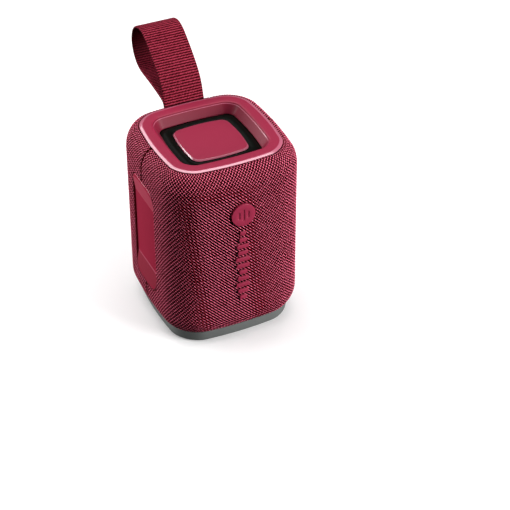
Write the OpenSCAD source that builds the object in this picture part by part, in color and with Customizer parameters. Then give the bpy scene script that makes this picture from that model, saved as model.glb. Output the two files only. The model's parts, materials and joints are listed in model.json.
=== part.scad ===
// Small portable speaker: a fabric-covered upright box with a passive radiator on top,
// one full-range driver behind the front fabric and a webbing carry loop at the back.
// Millimetres. +Z is up, the front faces -Y, and the origin is the centre of the foot's underside.

/* [Body] */
// Width and depth over the crowned sides
body_w = 80; // [78:0.5:84]
// Height from the table to the top of the bezel
body_h = 109; // [108:0.5:112]
// How far each side bows out at its middle
bulge = 2.8; // [2:0.1:3.2]
// Radius of the upright corners
corner_r = 16; // [15:0.5:17]
// Radius of the rounding at the bottom of the fabric
bottom_r = 14.5; // [14:0.5:15]
// Height of the rounded shoulder
shoulder_h = 12.4; // [12:0.2:13]
// How far the shoulder draws in at the bezel
shoulder_in = 7.2; // [7:0.05:7.4]
// Height of the grey rubber foot
foot_h = 6.2; // [6:0.1:6.4]

/* [Bezel and radiator] */
// Width of the bezel over its lip
bezel_w = 66.2; // [65.8:0.1:66.6]
// Width of the bezel opening at its top edge
opening_w = 51.4; // [50:0.2:52]
// Width of the bezel opening at the bottom of its sloping wall
well_w = 45.2; // [44.8:0.1:45.4]
// Width of the radiator's moving plate
plate_w = 34.1; // [33:0.1:35]
// How far the plate's top lies below the bezel
plate_drop = 4.5; // [4.3:0.1:4.7]

/* [Side panels] */
// Width of each side panel
panel_w = 26.8; // [24:0.1:28]
// Height of each side panel
panel_h = 65; // [63:0.5:66]
// Depth of the finger dip in each panel
dip = 1.6; // [1:0.1:1.8]
// Diameter of a key
key_d = 6.4; // [6:0.1:6.6]
// Distance between two keys
key_pitch = 8; // [7.8:0.1:8.2]

/* [Driver] */
// Outer diameter of the driver's frame
driver_d = 46; // [45:0.5:46]
// Height of the driver's axis above the table
driver_z = 50; // [49:0.5:52]

/* [Carry loop] */
// Width of the webbing
webbing_w = 23; // [20:0.5:24]
// Thickness of the webbing
webbing_t = 1.4; // [1.2:0.1:1.6]

/* [Badge] */
// Diameter of the round badge
badge_d = 13.4; // [12:0.2:14]
// Height of the badge's centre above the table
badge_z = 81.8; // [81:0.2:83]

/* [Hidden] */
$fn = 48;
e = 0.01; // overlap that keeps cuts clean

CRIMSON = "#9f3050";
CRIMSON_DARK = "#8b2a3e";
FABRIC = "#a2234a";
BLACK = "#161616";
GREY = "#6c706e";
STEEL = "#b8bcc0";
GREEN = "#1f5a3c";

half = body_w / 2 - bulge;             // half width of the square before its sides bow out
fabric_top = body_h - 0.7;             // where the fabric meets the bezel
shoulder_z = fabric_top - shoulder_h;  // where the shoulder starts
floor_z = foot_h - 4.05;               // where the bottom rounding would meet the table side
start_a = acos(1 - (foot_h + 0.2 - floor_z) / bottom_r); // where the fabric starts on its rounding
sleeve_t = 1.0;                        // thickness of the fabric and its backing
shell_out = 1.15;                      // depth of the shell's outer face under the fabric's
shell_in = 3.4;                        // depth of its inner face
plate_top = body_h - plate_drop;
corner_steps = 6;
side_steps = 4;

// ---- outlines and lofts ----

// A square's corner arc, with its centre c from the middle, in quadrant q
function corner(c, r, q) = [
    for (i = [0 : corner_steps])
        let (a = 90 * (q + i / corner_steps))
        [(q == 0 || q == 3 ? c : -c) + r * cos(a), (q < 2 ? c : -c) + r * sin(a)]
];
// The points of the straight side that follows quadrant q, without its ends
function side(h, c, q) = [
    for (i = [1 : side_steps - 1])
        let (s = c * (1 - 2 * i / side_steps))
        q == 0 ? [s, h] : q == 1 ? [-h, s] : q == 2 ? [-s, -h] : [h, -s]
];
function bow(p, h, b) = [
    p.x + sign(p.x) * b * (1 - pow(p.y / h, 2)) * abs(p.x) / h,
    p.y + sign(p.y) * b * (1 - pow(p.x / h, 2)) * abs(p.y) / h
];
// Closed outline of a square w wide over its bowed sides
function outline(w, r, b) =
    let (h = w / 2 - b)
    [for (q = [0 : 3]) each [for (p = concat(corner(h - r, r, q), side(h, h - r, q))) bow(p, h, b)]];
function ring(w, r, b, z) = [for (p = outline(w, r, b)) [p.x, p.y, z]];

// Solid through a list of rings: a closed band, or a body with flat ends
module loft(rings, band = false) {
    n = len(rings[0]);
    m = len(rings);
    last = band ? m - 1 : m - 2;
    walls = [
        for (j = [0 : last], i = [0 : n - 1])
            let (k = (i + 1) % n, a = j * n, b = ((j + 1) % m) * n)
            each [[a + i, b + i, b + k], [a + i, b + k, a + k]]
    ];
    ends = band ? [] : [[for (i = [0 : n - 1]) i], [for (i = [n - 1 : -1 : 0]) (m - 1) * n + i]];
    polyhedron(points = [for (r = rings) each r], faces = concat(walls, ends), convexity = 6);
}

// Rings of the body's side wall at depth d under the fabric's face, from the foot to the bezel
function wall_ring(inset, d, r, z) = ring(body_w - 2 * inset, r, bulge, z);
function wall_rings(d) = concat(
    [for (i = [0 : 4])
        let (a = start_a + (90 - start_a) * i / 4, in0 = bottom_r * (1 - sin(a)))
        wall_ring(bottom_r - (bottom_r - d) * sin(a), d, corner_r - 0.6 * in0 - d * sin(a),
            floor_z + bottom_r - (bottom_r - d) * cos(a))],
    [for (i = [0 : 6])
        let (a = 90 * i / 6, in0 = shoulder_in * (1 - cos(a)))
        wall_ring(shoulder_in - (shoulder_in - d) * cos(a), d,
            corner_r - 0.86 * in0 - d * cos(a), shoulder_z + (shoulder_h - d) * sin(a))]
);
function reversed(list) = [for (i = [len(list) - 1 : -1 : 0]) list[i]];
module skin(d0, d1) loft(concat(reversed(wall_rings(d0)), wall_rings(d1)), band = true);

// ---- small helpers ----

// Exact rounded rectangle, centred
module round_rect(x, y, r) {
    square([x - 2 * r, y], center = true);
    square([x, y - 2 * r], center = true);
    for (sx = [-1, 1], sy = [-1, 1]) translate([sx * (x / 2 - r), sy * (y / 2 - r)]) circle(r);
}
// A shape drawn as (y, z) stands along +X from x0 to x1
module along_x(x0, x1) translate([x0, 0, 0]) rotate([90, 0, 90]) linear_extrude(x1 - x0) children();
// A shape drawn as (x, z) stands along +Y from y0 to y1
module along_y(y0, y1)
    translate([0, y1, 0]) rotate([90, 0, 0]) linear_extrude(y1 - y0) children();
module rod_x(x0, x1, y, z, r) along_x(x0, x1) translate([y, z]) circle(r);
module rod_y(y0, y1, x, z, r) along_y(y0, y1) translate([x, z]) circle(r);
module rod_z(z0, z1, x, y, r) translate([x, y, z0]) cylinder(h = z1 - z0, r = r);
module box(lo, hi) translate(lo) cube(hi - lo);
// A shape spun round the driver's axis, drawn as (radius, y)
module spun() translate([0, 0, driver_z]) rotate([-90, 0, 0]) rotate_extrude() children();
module corners4(d) for (sx = [-1, 1], sy = [-1, 1]) translate([sx * d, sy * d, 0]) children();
// A pan-head screw standing on z0 with its head above z1
module screw_z(z0, z1, r, head_r, head_h) {
    cylinder(h = z1 - z0 + e, r = r);
    translate([0, 0, z1 - z0]) cylinder(h = head_h, r = head_r);
}

// ---- enclosure ----

panel_z = 56.5;
panel_r = 6;
port_z = 24;
port_w = 26;
port_h = 13;
grille_r = 20.5;
anchor_w = 29.4;
anchor_y = 33.3;
anchor_z = 100.7;

module panel_hole(gap) round_rect(panel_w + 2 * gap, panel_h + 2 * gap, panel_r + gap);
module shell_cuts(gap) {
    for (s = [-1, 1]) along_x(s > 0 ? 30 : -45, s > 0 ? 45 : -30) translate([0, panel_z]) panel_hole(gap);
    along_y(30, 45) translate([0, port_z]) round_rect(port_w + 2 * gap, port_h + 2 * gap, 3 + gap);
    box([-anchor_w / 2 - gap, anchor_y - 2.3, anchor_z - gap], [anchor_w / 2 + gap, 45, body_h + 5]);
}
module cabinet_shell() color(BLACK) difference() {
    skin(shell_out, shell_in);
    shell_cuts(0.25);
    rod_y(-45, -30, 0, driver_z, grille_r);
}
module fabric_sleeve() color(FABRIC) difference() {
    skin(0, sleeve_t);
    shell_cuts(0.2);
    rod_y(-45, -30, 0, badge_z, badge_d / 2 + 0.15);
}

// Rings of the bezel's section, from the lip over the top and down the sloping wall
function bezel_ring(w, r, b, drop) = ring(w, r, b, body_h - drop);
bezel_section = [
    [bezel_w - 1.1, 10.0, bulge, 4.8],
    [bezel_w - 1.1, 10.0, bulge, 0.62],
    [bezel_w - 0.05, 10.6, bulge, 0.52],
    [bezel_w, 10.6, bulge, 0.36],
    [bezel_w - 0.5, 10.4, bulge, 0.14],
    [bezel_w - 2, 9.8, bulge, 0],
    [opening_w + 1.4, 7.6, 1.4, 0],
    [opening_w + 0.3, 7.2, 1.4, 0.22],
    [opening_w - 0.5, 6.8, 1.35, 0.8],
    [well_w + 0.4, 4.2, 1.35, 5.0],
    [well_w, 4.0, 1.35, 5.3],
    [well_w, 4.0, 1.35, 5.8],
    [bezel_w - 1.1, 10.0, bulge, 5.8]
];
module top_bezel() color(CRIMSON)
    loft([for (s = bezel_section) bezel_ring(s[0], s[1], s[2], s[3])], band = true);

post_at = 23;
post_r = 3;
deck_z = 98.2;
deck_t = 2.2;
module chassis_frame() color(BLACK) difference() {
    union() {
        difference() {
            translate([0, 0, deck_z]) linear_extrude(deck_t) polygon(outline(71.6, 12, bulge));
            translate([0, 0, deck_z - e]) linear_extrude(deck_t + 1) round_rect(46, 46, 6);
        }
        corners4(post_at) rod_z(9.1, deck_z + e, 0, 0, post_r);
        for (z = [35, 85]) box([-post_at, 22.6, z - 2], [post_at, 25.7, z + 2]);
        for (s = [-1, 1], z = [28, 72])
            box([s * 23.5 - 1.8, -29.1, z - 2], [s * 23.5 + 1.8, -22, z + 2]);
    }
    corners4(post_at) rod_z(9, 21, 0, 0, 1.15);
    corners4(radiator_screw_at) rod_z(95, 101, 0, 0, 1.05);
    for (s = [-1, 1], z = [35, 85]) rod_y(20, 26, s * 17, z, 0.85);
    for (s = [-1, 1], z = [28, 72]) rod_y(-30, -20, s * 23.5, z, 0.85);
}

plate_z = foot_h + 0.25;
module base_plate() color(BLACK) difference() {
    union() {
        difference() {
            union() {
                translate([0, 0, plate_z]) linear_extrude(2.4) polygon(outline(66, 10, bulge));
                translate([0, 0, 1.2]) linear_extrude(plate_z - 1.2 + e)
                    polygon(outline(58, 8, 1.4));
            }
            translate([0, 0, 3.2]) linear_extrude(10) polygon(outline(54, 6.5, 1.4));
        }
        corners4(post_at) rod_z(1.2, plate_z + 2.4, 0, 0, 3.4);
    }
    corners4(post_at) rod_z(0, 12, 0, 0, 1.3);
    corners4(post_at) rod_z(0, 4.8, 0, 0, 2.6);
}
// A shallow rubber cup that wraps the base plate and covers its screws
module foot_ring() color(GREY) loft([
    ring(70, 12.4, bulge, 0),
    ring(71.2, 13, bulge, 0.8),
    ring(71.4, 13, bulge, foot_h),
    ring(59, 8.5, 1.4, foot_h),
    ring(59, 8.5, 1.4, 1)
]);
module base_screws() color(STEEL) corners4(post_at) difference() {
    union() {
        rod_z(4, 18, 0, 0, 1.1);
        rod_z(3.1, 4.75, 0, 0, 2.3);
    }
    translate([0, 0, 3]) linear_extrude(1) square([2.6, 0.6], center = true);
}

// ---- side panels and keys ----

panel_x = body_w / 2 + 0.15;  // outer face of a panel at its middle
dip_top = 20.3;               // half height of the dip's flat floor
dip_end = 34;                 // half height where its ramps end
side_r = (pow(half, 2) + pow(bulge, 2)) / (2 * bulge); // radius of the bowed side
floor_x = panel_x - dip;

// The panel on the +X side, before any key holes
module panel_blank() difference() {
    union() {
        intersection() {
            along_x(35.5, panel_x + 1) translate([0, panel_z]) panel_hole(0);
            translate([panel_x - side_r, 0, 0]) cylinder(h = 100, r = side_r, $fn = 96);
        }
        along_x(34.8, 35.8) translate([0, panel_z]) round_rect(panel_w + 4, panel_h + 4, panel_r + 2);
    }
    along_y(-30, 30) translate([0, panel_z]) polygon([
        [panel_x + 0.4, dip_end],
        [floor_x, dip_top],
        [floor_x, -dip_top],
        [panel_x + 0.4, -dip_end],
        [panel_x + 5, -dip_end],
        [panel_x + 5, dip_end]
    ]);
}
module grip_panel() color(CRIMSON_DARK) mirror([1, 0, 0]) panel_blank();

key_names = ["key_power", "key_pair", "key_volume_down", "key_play", "key_volume_up"];
key_low_z = panel_z - 2 * key_pitch;
key_top = floor_x + 0.5;
board_x = 31;
module control_panel() color(CRIMSON_DARK) difference() {
    union() {
        difference() {
            panel_blank();
            along_x(34, 36.6) translate([0, panel_z]) round_rect(10, 4 * key_pitch + 10, 4);
        }
        for (s = [-1, 1]) rod_x(board_x + 1.65, 35.5, 0, panel_z + s * 24, 2.2);
    }
    for (i = [0 : 4]) rod_x(30, 45, 0, key_low_z + i * key_pitch, key_d / 2 + 0.15);
    for (s = [-1, 1]) rod_x(30, 36.4, 0, panel_z + s * 24, 0.85);
    rod_x(30, 45, 7, panel_z + 24, 0.9);
}
module bars_2d(turns) for (a = turns) rotate(a) square([2.6, 0.6], center = true);
// Sunk symbols, counted from the bottom: minus, play, plus, pairing and power
module symbol(i) {
    if (i == 0) bars_2d([0]);
    if (i == 1) circle(r = 1.4, $fn = 3);
    if (i == 2) bars_2d([0, 90]);
    if (i == 3) {
        circle(r = 0.5);
        for (a = [0, 180]) rotate(a) translate([1.3, 0]) square([0.5, 1.8], center = true);
    }
    if (i == 4) {
        difference() {
            circle(r = 1.5);
            circle(r = 1.0);
            translate([0, 1.2]) square([1.5, 1.6], center = true);
        }
        translate([0, 1]) square([0.5, 1.5], center = true);
    }
}
// One key, counted from the bottom: a dished cap, a stop flange and a stem
module key(i) color(CRIMSON) translate([0, 0, key_low_z + i * key_pitch]) difference() {
    union() {
        rod_x(35.9, key_top, 0, 0, key_d / 2);
        rod_x(35.9, 36.45, 0, 0, key_d / 2 + 0.6);
        rod_x(34.9, 36, 0, 0, 1.2);
    }
    translate([key_top + 29.85, 0, 0]) sphere(r = 30, $fn = 64);
    along_x(key_top - 0.4, key_top + 1) symbol(i);
}
module key_power() key(4);
module key_pair() key(3);
module key_volume_down() key(0);
module key_play() key(1);
module key_volume_up() key(2);
module key_board() color(GREEN) difference() {
    along_x(board_x, board_x + 1.6) translate([0, panel_z]) round_rect(15, 54, 1);
    for (s = [-1, 1]) rod_x(board_x - 1, board_x + 3, 0, panel_z + s * 24, 0.9);
}
module key_switches() color(BLACK) for (i = [0 : 4]) {
    z = key_low_z + i * key_pitch;
    box([board_x + 1.65, -2.2, z - 2.2], [board_x + 2.7, 2.2, z + 2.2]);
    rod_x(board_x + 2.6, board_x + 3.3, 0, z, 1);
}
module key_board_screws() color(STEEL) for (s = [-1, 1]) {
    rod_x(board_x - 0.05, board_x + 4.6, 0, panel_z + s * 24, 0.78);
    rod_x(board_x - 1, board_x - 0.04, 0, panel_z + s * 24, 1.5);
}
module status_lens() color("white") rod_x(board_x + 1.7, floor_x + 0.5, 7, panel_z + 24, 0.82);

// ---- passive radiator ----

radiator_screw_at = 26;
module radiator_plate() color(CRIMSON) loft([
    ring(28, 2.6, 1.2, plate_top - 1.35),
    ring(28, 2.6, 1.2, plate_top - 0.8),
    ring(plate_w - 0.1, 3.4, 1.4, plate_top - 0.79),
    ring(plate_w, 3.5, 1.4, plate_top - 0.35),
    ring(plate_w - 0.8, 3.2, 1.4, plate_top)
]);
module radiator_weight() color(STEEL)
    translate([0, 0, plate_top - 4.6]) linear_extrude(3.24) round_rect(23, 23, 3);
// Rubber roll between the plate and the frame: outer foot, roll, inner foot under the plate
surround_section = [
    [48.4, 5.5, 6.0], [44.4, 4.6, 6.0], [42.2, 4.0, 5.35], [39.9, 3.6, 4.95],
    [37.2, 3.2, 5.05], [35.0, 3.0, 5.42], [28.6, 2.6, 5.42], [28.6, 2.6, 5.75],
    [35.2, 3.0, 5.75], [37.2, 3.2, 5.45], [39.9, 3.6, 5.35], [41.8, 4.0, 5.75],
    [44.0, 4.6, 6.4], [48.4, 5.5, 6.4]
];
module radiator_surround() color(BLACK)
    loft([for (s = surround_section) ring(s[0], s[1], 1.3, body_h - s[2])], band = true);
module radiator_frame() color(BLACK) difference() {
    translate([0, 0, deck_z + deck_t + 0.1]) linear_extrude(2.05) round_rect(61, 61, 9);
    translate([0, 0, deck_z]) linear_extrude(9) round_rect(43, 43, 4);
    corners4(radiator_screw_at) rod_z(deck_z, body_h, 0, 0, 1.25);
    corners4(radiator_screw_at) rod_z(deck_z + deck_t + 1.2, body_h, 0, 0, 2.3);
}
module radiator_screws() color(STEEL) corners4(radiator_screw_at) {
    rod_z(96, deck_z + deck_t + 1.3, 0, 0, 1);
    rod_z(deck_z + deck_t + 1.22, deck_z + deck_t + 2.1, 0, 0, 2.1);
}

// ---- front driver ----

baffle_y = -31.8;
module front_grille() color(BLACK) difference() {
    rod_y(-35.05, -34.65, 0, driver_z, 22);
    for (r = [1 : 4], i = [0 : 6 * r - 1])
        rod_y(-36, -34, 4.4 * r * cos(60 * i / r), driver_z + 4.4 * r * sin(60 * i / r), 1.6);
    rod_y(-36, -34, 0, driver_z, 1.6);
}
module front_baffle() color(BLACK) difference() {
    along_y(baffle_y, baffle_y + 2.4) translate([0, driver_z]) round_rect(53, 54, 4);
    rod_y(-35, -25, 0, driver_z, 20.1);
    for (a = [45 : 90 : 315]) rod_y(-35, -25, 21.6 * cos(a), driver_z + 21.6 * sin(a), 0.8);
    for (s = [-1, 1], z = [28, 72]) rod_y(-35, -25, s * 23.5, z, 1.1);
}
module baffle_screws() color(STEEL) for (s = [-1, 1], z = [28, 72]) {
    rod_y(baffle_y - 0.1, -25, s * 23.5, z, 0.8);
    rod_y(baffle_y - 0.95, baffle_y - 0.02, s * 23.5, z, 1.6);
}
module driver_gasket() color(BLACK) difference() {
    spun() translate([driver_d / 2 - 2.4, -34.6]) square([2.4, 1.75]);
    for (a = [45 : 90 : 315]) rod_y(-35, -32, 21.6 * cos(a), driver_z + 21.6 * sin(a), 1.35);
}
module driver_basket() color(GREY) difference() {
    spun() {
        translate([18.8, -32.8]) square([driver_d / 2 - 18.8, 0.98]);
        polygon([[18.8, -32.1], [19.9, -32.1], [19.9, -29], [15, -19.6], [8, -19.6], [8, -20.4],
            [14.2, -20.4], [18.8, -29.2]]);
    }
    for (a = [0 : 90 : 270]) translate([0, 0, driver_z]) rotate([0, a, 0])
        box([8, -27.6, -5.5], [25, -21, 5.5]);
    for (a = [45 : 90 : 315]) rod_y(-35, -31, 21.6 * cos(a), driver_z + 21.6 * sin(a), 0.9);
}
module driver_screws() color(STEEL) for (a = [45 : 90 : 315]) {
    rod_y(-32.85, -28, 21.6 * cos(a), driver_z + 21.6 * sin(a), 0.75);
    rod_y(-33.5, -32.84, 21.6 * cos(a), driver_z + 21.6 * sin(a), 1.2);
}
module driver_top_plate() color(STEEL) spun() translate([7.3, -19.55]) square([6.2, 2]);
module driver_magnet() color("#404448") spun() translate([8.5, -17.5]) square([5.6, 5]);
module driver_yoke() color(STEEL) spun() {
    translate([0, -12.45]) square([13.5, 2]);
    translate([0, -19.4]) square([5.9, 7]);
}
module driver_cone() color("#26282b") spun()
    polygon([[7.05, -26.6], [7.05, -26.0], [15.8, -32.4], [16.4, -32.4], [16.4, -32.8], [15.6, -32.8]]);
module driver_dust_cap() color("#1c1d20") spun() difference() {
    intersection() {
        translate([0, -20]) circle(r = 9.6);
        translate([0, -31]) square([7, 4.2]);
    }
    translate([0, -20]) circle(r = 9.2);
}
module voice_coil() color("#b06a30") spun() translate([6.3, -26.5]) square([0.6, 11.4]);
module driver_surround() color(BLACK) spun() difference() {
    union() {
        translate([17.6, -32.3]) circle(r = 1.55);
        translate([15, -33.15]) square([5.4, 0.3]);
    }
    translate([17.6, -32.3]) circle(r = 1.25);
    translate([10, -32.85]) square([12, 6]);
}
module driver_spider() color("#c9a25a") spun() translate([7.0, -22]) square([7.8, 0.3]);

// ---- electronics ----

module main_board() color(GREEN) difference() {
    along_y(26.1, 27.6) translate([0, 54]) round_rect(39, 76, 1.5);
    for (s = [-1, 1], z = [35, 85]) rod_y(25, 29, s * 17, z, 1);
}
module board_parts() color("#303338") {
    box([-9, 27.65, 62], [9, 29.9, 80]);
    box([-17, 27.65, 46], [-7, 30, 56]);
    box([6, 27.65, 44], [16, 31.2, 54]);
    for (x = [-5, 3]) rod_y(27.65, 33.6, x, 38.5, 3);
    box([-18, 27.65, 64], [-12, 31, 72]);
}
module board_screws() color(STEEL) for (s = [-1, 1], z = [35, 85]) {
    rod_y(22.9, 27.66, s * 17, z, 0.78);
    rod_y(27.65, 28.7, s * 17, z, 1.6);
}
socket_z = port_z;
module charge_socket() color(STEEL) difference() {
    along_y(27.65, 36.9) translate([0, socket_z]) round_rect(9, 3.3, 1.6);
    along_y(30, 37) translate([0, socket_z]) difference() {
        round_rect(8.3, 2.6, 1.25);
        square([6.6, 0.7], center = true);
    }
}
flap_y = 39.4;      // hinge line of the port flap
flap_z = 20.2;
flap_top = 28.8;
module port_frame() color(CRIMSON_DARK) difference() {
    union() {
        intersection() {
            along_y(34.9, 41) translate([0, port_z]) round_rect(port_w, port_h, 3);
            translate([0, body_w / 2 - side_r, 0]) cylinder(h = 60, r = side_r, $fn = 96);
        }
        along_y(34.6, 36) translate([0, port_z]) round_rect(port_w + 3, port_h + 1.6, 3);
    }
    along_y(37.3, 42) translate([0, (18.2 + 29.2) / 2]) round_rect(22.4, 29.2 - 18.2, 1.6);
    along_y(30, 40) translate([0, socket_z]) round_rect(9.4, 3.7, 1.8);
    rod_x(-12.2, 12.2, flap_y, flap_z, 0.5);
}
module port_flap() color(CRIMSON_DARK) difference() {
    union() {
        along_y(38.3, body_w / 2 - 0.05) translate([0, (flap_z + flap_top) / 2 + 0.4])
            round_rect(21.6, flap_top - flap_z - 0.8, 1.2);
        rod_x(-10.8, 10.8, flap_y, flap_z, 1.05);
        along_y(37.0, 38.5) translate([0, socket_z]) round_rect(8.6, 3, 1.4);
        box([-10.2, 38.35, flap_z], [10.2, 39.9, flap_z + 1.6]);
    }
    rod_x(-12, 12, flap_y, flap_z, 0.56);
    along_y(39.6, 41) translate([0, flap_top - 1.4]) round_rect(7, 0.9, 0.44);
}
module port_flap_pin() color(STEEL) rod_x(-12.1, 12.1, flap_y, flap_z, 0.5);
battery_y = 10;
battery_z = 19.2;
module battery() color("#2d4f8a") {
    rod_x(-32.2, 32.2, battery_y, battery_z, 9.15);
    rod_x(32.1, 32.9, battery_y, battery_z, 2.8);
}
module battery_cradle() color(BLACK) difference() {
    box([-17, 0.5, 3.25], [17, 19.5, 16.5]);
    rod_x(-20, 20, battery_y, battery_z, 9.35);
    for (x = [-9.5, 9.5]) box([x - 6, 2.5, 3.2], [x + 6, 17.5, 9]);
}

// ---- carry loop ----

bend_y = 35.3;      // the line where the webbing bends, just behind the bezel
bend_z = body_h + 0.2;
tail_r = webbing_t - 0.1;

// Moulded socket in the shoulder, with a slot for the webbing's ends
module strap_anchor() color(CRIMSON_DARK) difference() {
    along_x(-anchor_w / 2, anchor_w / 2) polygon([
        [anchor_y, anchor_z], [39.2, anchor_z], [38.9, 102.2], [38.1, 104.2], [37.3, 105.4],
        [36.3, 106.4], [35.2, 107.2], [anchor_y, 107.7]
    ]);
    box([-webbing_w / 2 - 0.3, anchor_y - 1, anchor_z + 0.8],
        [webbing_w / 2 + 0.3, bend_y + 1.45, body_h]);
}
// Both ends of the webbing, stitched together and fixed in the slot
module strap_tail() color(FABRIC) {
    box([-webbing_w / 2, bend_y - tail_r, anchor_z + 0.9], [webbing_w / 2, bend_y + tail_r, bend_z]);
    rod_x(-webbing_w / 2, webbing_w / 2, bend_y, bend_z, tail_r);
}

// Centre of the webbing from the front leg over the top and back along the lower leg, as (y, z)
loop_head = [67, 125.8];
loop_head_r = 13.3;
loop_turn = [124, -92];   // angles where the head's arc starts and ends
front_leg = [
    [36.0, 111.6], [36.9, 115.0], [38.7, 118.5], [41.2, 121.9], [44.4, 125.1], [48.0, 128.3],
    [51.8, 131.3], [55.7, 134.2]
];
lower_leg = [[58.2, 112.3], [50.0, 111.8], [43.4, 111.1], [38.6, 110.4]];
function arc_point(a) = loop_head + loop_head_r * [cos(a), sin(a)];
loop_line = concat(
    front_leg,
    [for (i = [0 : 14]) arc_point(loop_turn[0] + (loop_turn[1] - loop_turn[0]) * i / 14)],
    lower_leg
);
function unit(v) = v / norm(v);
function normal_at(l, i) =
    let (t = unit(l[min(i + 1, len(l) - 1)] - l[max(i - 1, 0)])) [-t.y, t.x];
function shifted(l, d) = [for (i = [0 : len(l) - 1]) l[i] + d * normal_at(l, i)];
loop_outer = concat(shifted(loop_line, webbing_t / 2), [[37.4, 109.8], [34.7, 110.0]]);
loop_inner = let (l = shifted(loop_line, -webbing_t / 2))
    concat([[38.3, 112.2]], [for (i = [1 : len(l) - 2]) l[i]]);
module strap_loop() color(FABRIC) along_x(-webbing_w / 2, webbing_w / 2) difference() {
    polygon(loop_outer);
    polygon(loop_inner);
    translate([bend_y, bend_z]) circle(webbing_t + 0.25);
}

// ---- badge ----

module badge_disc() color(CRIMSON) difference() {
    rod_y(-body_w / 2 - 0.9, -38.95, 0, badge_z, badge_d / 2);
    for (i = [-1 : 1]) along_y(-body_w / 2 - 2, -body_w / 2 - 0.55)
        translate([i * 2.6, badge_z]) round_rect(1.3, i == 0 ? 7 : 4.2, 0.64);
}
// A level meter: bars of different widths up the front
bar_widths = [4.2, 6.2, 8, 6.6, 4.8, 7.4, 8, 5.8, 7, 4.6, 3.4];
bar_pitch = 4.2;
module badge_bars() color(CRIMSON) for (i = [0 : len(bar_widths) - 1])
    along_y(-body_w / 2 - 1.05, -body_w / 2 - 0.03)
        translate([-0.4, 28.4 + i * bar_pitch]) round_rect(bar_widths[i], 2.4, 0.9);

cabinet_shell();
fabric_sleeve();
top_bezel();
chassis_frame();
base_plate();
foot_ring();
base_screws();
grip_panel();
control_panel();
key_power();
key_pair();
key_volume_down();
key_play();
key_volume_up();
key_board();
key_switches();
key_board_screws();
status_lens();
radiator_plate();
radiator_weight();
radiator_surround();
radiator_frame();
radiator_screws();
front_grille();
front_baffle();
baffle_screws();
driver_gasket();
driver_basket();
driver_top_plate();
driver_magnet();
driver_yoke();
driver_cone();
driver_dust_cap();
voice_coil();
driver_surround();
driver_spider();
driver_screws();
main_board();
board_parts();
board_screws();
charge_socket();
port_frame();
port_flap();
port_flap_pin();
battery();
battery_cradle();
strap_anchor();
strap_tail();
strap_loop();
badge_disc();
badge_bars();
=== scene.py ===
import json
import math

import bmesh
import bpy
import numpy as np
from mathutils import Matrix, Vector


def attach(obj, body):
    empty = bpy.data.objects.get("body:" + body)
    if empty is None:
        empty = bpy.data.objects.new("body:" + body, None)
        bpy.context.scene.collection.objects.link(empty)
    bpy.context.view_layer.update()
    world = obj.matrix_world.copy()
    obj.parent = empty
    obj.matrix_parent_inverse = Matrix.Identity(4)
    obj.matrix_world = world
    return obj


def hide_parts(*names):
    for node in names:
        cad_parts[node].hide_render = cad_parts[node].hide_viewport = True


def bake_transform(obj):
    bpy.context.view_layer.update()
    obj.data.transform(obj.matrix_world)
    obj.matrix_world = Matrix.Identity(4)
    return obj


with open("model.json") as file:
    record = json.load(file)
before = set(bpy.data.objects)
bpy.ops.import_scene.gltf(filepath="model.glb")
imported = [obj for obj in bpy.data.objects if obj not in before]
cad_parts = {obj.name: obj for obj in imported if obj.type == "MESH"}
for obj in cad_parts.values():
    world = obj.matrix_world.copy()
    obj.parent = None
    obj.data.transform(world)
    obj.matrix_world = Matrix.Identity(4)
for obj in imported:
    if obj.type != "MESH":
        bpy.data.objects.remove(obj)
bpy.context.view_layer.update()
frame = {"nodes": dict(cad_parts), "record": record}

MM = 0.001

# ---- sizes, in millimetres, as in the part ----

BODY_W = 80.0
BODY_H = 109.0
BULGE = 2.8
CORNER_R = 16.0
BOTTOM_R = 14.5            # radius of the cover's turn under the body
SHOULDER_H = 12.4          # the cover's shoulder is a quarter ellipse: its height
SHOULDER_IN = 7.2          # and how far it comes in
FOOT_H = 6.2
FABRIC_TOP = BODY_H - 0.7
SHOULDER_Z = FABRIC_TOP - SHOULDER_H
TURN_LOW_Z = FOOT_H - 4.05  # lowest point of the circle of the turn under the body
START_A = math.acos(1 - (FOOT_H + 0.2 - TURN_LOW_Z) / BOTTOM_R)  # where on it the cover starts
BEZEL_W = 66.2
OPENING_W = 51.4
WELL_W = 45.2
PLATE_W = 34.1
PLATE_TOP = BODY_H - 4.5
PANEL_W, PANEL_H, PANEL_R, PANEL_Z = 26.8, 65.0, 6.0, 56.5
DIP_HALF_H = 20.3          # half the height of the level floor of a panel's dip
PORT_W, PORT_H, PORT_R, PORT_Z = 26.0, 13.0, 3.0, 24.0
BADGE_R, BADGE_Z = 6.7, 81.8
DRIVER_Z = 50.0
ANCHOR_HALF_W, ANCHOR_Z = 14.7, 100.7

# The knit: open holes in staggered rows. One step is half a hole's spacing.
STEPS_ROUND = 296          # steps round the body, all the way
STEPS_UP = 99              # steps from the foot to the bezel
FINE = 2                   # mesh points to a step
SHOULDER_ARC = 15.24       # length of the shoulder by which its rows are spaced
KNIT_LEAN = 0.13           # steps the columns lean to the left for each step up
KNIT_HIGH = 0.12           # how far threads stand proud
KNIT_DEEP = 0.70           # how far holes are sunk
THREAD_HALF_W = 0.20       # half a thread's width, as a share of the threads' spacing
WEAVE = 0.36               # share of its height by which a thread rises and dips
COVER_GAP = 0.25           # gap between the cover and what stands in its openings
SEAM_GAP = 0.40            # half the gap between the two halves of the cover
HEM_W = 0.5                # width over which holes close towards an edge
HEM_HEIGHT = 0.55          # height of a hem, where a thread's is 1
EDGE_W = 0.9               # width over which the threads' relief fades towards an edge
ROLL_W, ROLL_IN = 0.8, 0.42  # width of the roll at an edge, and how far it dips
PUFF_W, PUFF_AT, PUFF = 0.8, 1.6, 0.10  # the swelling beside a seam: width, place and height
TURNED_IN = 0.9            # how far edges are turned in
TURNED_IN_DEEP = 1.9       # the same beside the side panels
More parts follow.
